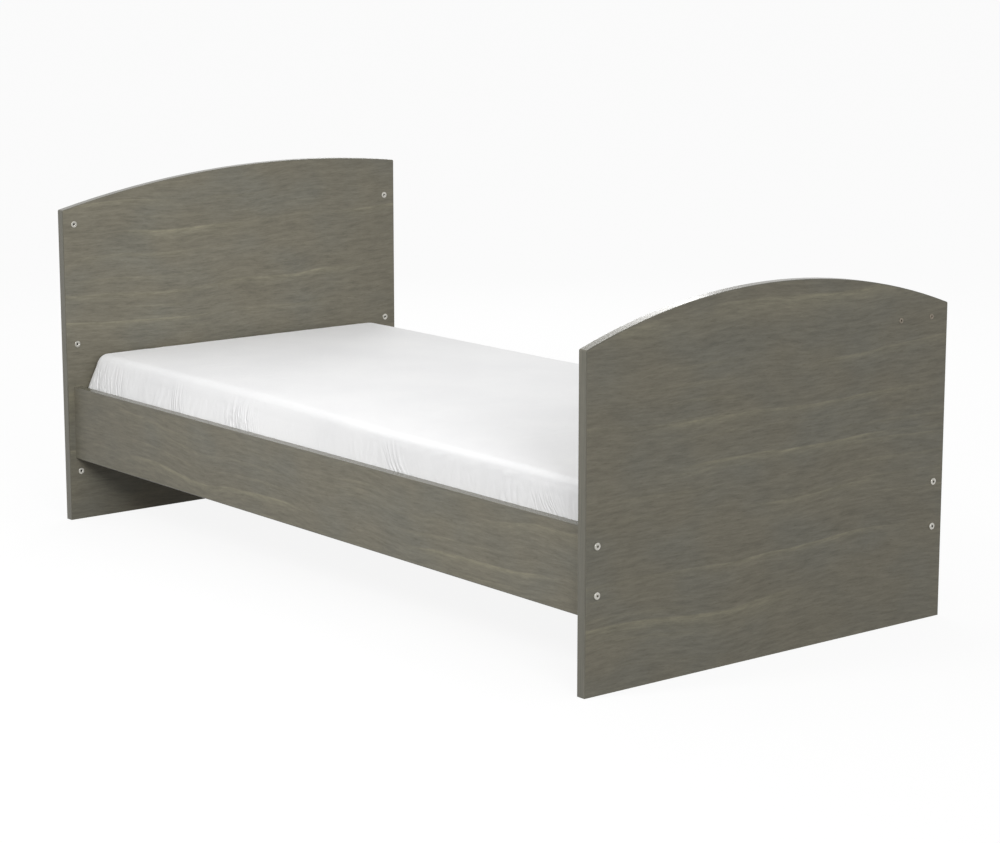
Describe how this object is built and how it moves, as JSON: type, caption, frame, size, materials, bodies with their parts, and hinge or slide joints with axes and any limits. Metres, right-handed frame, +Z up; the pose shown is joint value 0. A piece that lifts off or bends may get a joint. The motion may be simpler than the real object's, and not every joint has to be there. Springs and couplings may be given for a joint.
{
  "type": "toddler bed",
  "caption": "Low single bed for a young child: arched headboard and footboard of grey-brown wood-grain board, side rails, slatted base and a mattress in a white fitted sheet.",
  "frame": {"origin": "middle of the bed on the floor, at the centre of the bottom of its bounding box", "axes": "+X from the headboard to the footboard, +Z up; left (-Y) and right (+Y) are as seen from the foot, looking at the headboard"},
  "size_m": [1.9552, 0.984, 0.84],
  "materials": {
    "board": "satin",
    "edging": "satin",
    "nickel": "satin",
    "zinc": "satin",
    "beech": "matte",
    "pine": "matte",
    "plug": "satin",
    "webbing": "matte",
    "foam": "matte",
    "ticking": "matte",
    "sheet": "matte",
    "elastic": "matte"
  },
  "bodies": {
    "frame": {"cleat_screws": "zinc", "foot_bolts": "nickel", "foot_cross_dowels": "zinc", "footboard_edging": "edging", "footboard_hole_plugs": "plug", "footboard_panel": "board", "head_bolts": "nickel", "head_cross_dowels": "zinc", "headboard_edging": "edging", "headboard_insert_nuts": "nickel", "headboard_panel": "board", "ribbon_staples": "zinc", "side_rail_left": "board", "side_rail_left_edging": "edging", "side_rail_right": "board", "side_rail_right_edging": "edging", "slat_01": "pine", "slat_02": "pine", "slat_03": "pine", "slat_04": "pine", "slat_05": "pine", "slat_06": "pine", "slat_07": "pine", "slat_08": "pine", "slat_09": "pine", "slat_10": "pine", "slat_11": "pine", "slat_12": "pine", "slat_13": "pine", "slat_14": "pine", "slat_15": "pine", "slat_cleat_left": "pine", "slat_cleat_right": "pine", "slat_end_screws": "zinc", "slat_ribbon_left": "webbing", "slat_ribbon_right": "webbing", "wooden_dowels": "beech"},
    "mattress": {"mattress_core": "foam", "mattress_cover": "ticking", "fitted_sheet": "sheet", "sheet_elastic": "elastic"}
  },
  "joints": [
    {"name": "mattress_lift", "type": "slide", "parent": "frame", "child": "mattress", "axis": [0, 0, 1], "range_m": [0, 0.6]}
  ]
}
